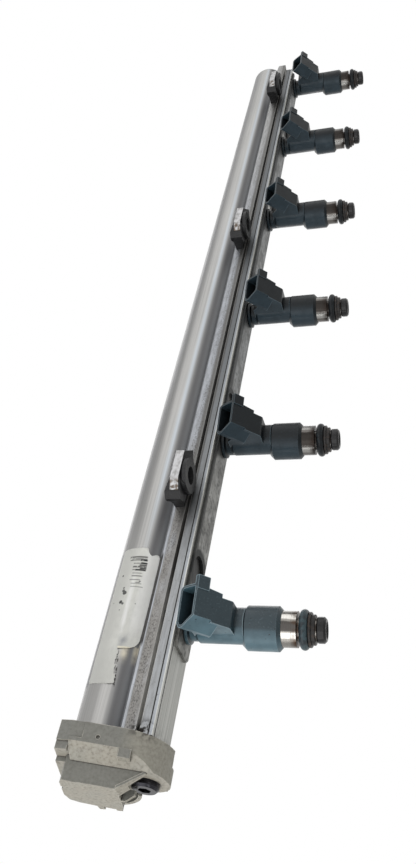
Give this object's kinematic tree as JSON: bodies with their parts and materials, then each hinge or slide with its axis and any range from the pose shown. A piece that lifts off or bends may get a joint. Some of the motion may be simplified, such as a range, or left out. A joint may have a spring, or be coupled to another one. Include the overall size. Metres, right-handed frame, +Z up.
{
  "type": "fuel rail with injectors",
  "caption": "Drawn aluminium fuel rail for a straight-six engine: injectors clipped under a steel strip, connectors leaning over the rail, moulded end cap, isolated bolt lugs",
  "frame": {"origin": "on the middle lug's bolt axis, in the plane of the lugs' seat rings", "axes": "+Z up as fitted, nozzles down along -Z; +Y along the rail away from the end cap; +X from the injectors towards the lugs"},
  "size_m": [0.0464, 0.5404, 0.0867],
  "materials": {
    "rail_aluminium": "extruded aluminium, satin, grimy in the grooves",
    "cap_nylon": "moulded glass-filled nylon, dull warm grey",
    "black_steel": "black zinc-plated steel, glossy",
    "black_rubber": "moulded nitrile rubber",
    "strip_steel": "pressed steel strip, scratched",
    "contact_brass": "tinned brass blades",
    "lug_rubber": "moulded black rubber isolator",
    "plate_steel": "stamped steel plate, brown stain on its slope",
    "injector_plastic": "moulded slate blue nylon, satin",
    "core_steel": "turned stainless steel, bright",
    "port_rubber": "moulded dark blue-grey fluoro rubber",
    "spacer_plastic": "moulded brown plastic, sooty",
    "nozzle_plastic": "moulded black plastic, satin"
  },
  "bodies": {
    "root": {"rail_extrusion": "rail_aluminium", "end_cap": "cap_nylon", "end_cap_screw": "black_steel", "end_cap_seal": "black_rubber", "far_plug": "rail_aluminium", "far_plug_seal": "black_rubber", "retainer_strip": "strip_steel", "rail_seals": "black_rubber", "contact_blades": "contact_brass", "lug_moulding_1": "lug_rubber", "lug_moulding_2": "lug_rubber", "lug_moulding_3": "lug_rubber", "lug_plate_1": "plate_steel", "lug_plate_2": "plate_steel", "lug_plate_3": "plate_steel", "injector_body_1": "injector_plastic", "injector_body_2": "injector_plastic", "injector_body_3": "injector_plastic", "injector_body_4": "injector_plastic", "injector_body_5": "injector_plastic", "injector_body_6": "injector_plastic", "injector_core_1": "core_steel", "injector_core_2": "core_steel", "injector_core_3": "core_steel", "injector_core_4": "core_steel", "injector_core_5": "core_steel", "injector_core_6": "core_steel", "port_seal_1": "port_rubber", "port_seal_2": "port_rubber", "port_seal_3": "port_rubber", "port_seal_4": "port_rubber", "port_seal_5": "port_rubber", "port_seal_6": "port_rubber", "spacer_1": "spacer_plastic", "spacer_2": "spacer_plastic", "spacer_3": "spacer_plastic", "spacer_4": "spacer_plastic", "spacer_5": "spacer_plastic", "spacer_6": "spacer_plastic", "nozzle_cap_1": "nozzle_plastic", "nozzle_cap_2": "nozzle_plastic", "nozzle_cap_3": "nozzle_plastic", "nozzle_cap_4": "nozzle_plastic", "nozzle_cap_5": "nozzle_plastic", "nozzle_cap_6": "nozzle_plastic"}
  },
  "joints": []
}
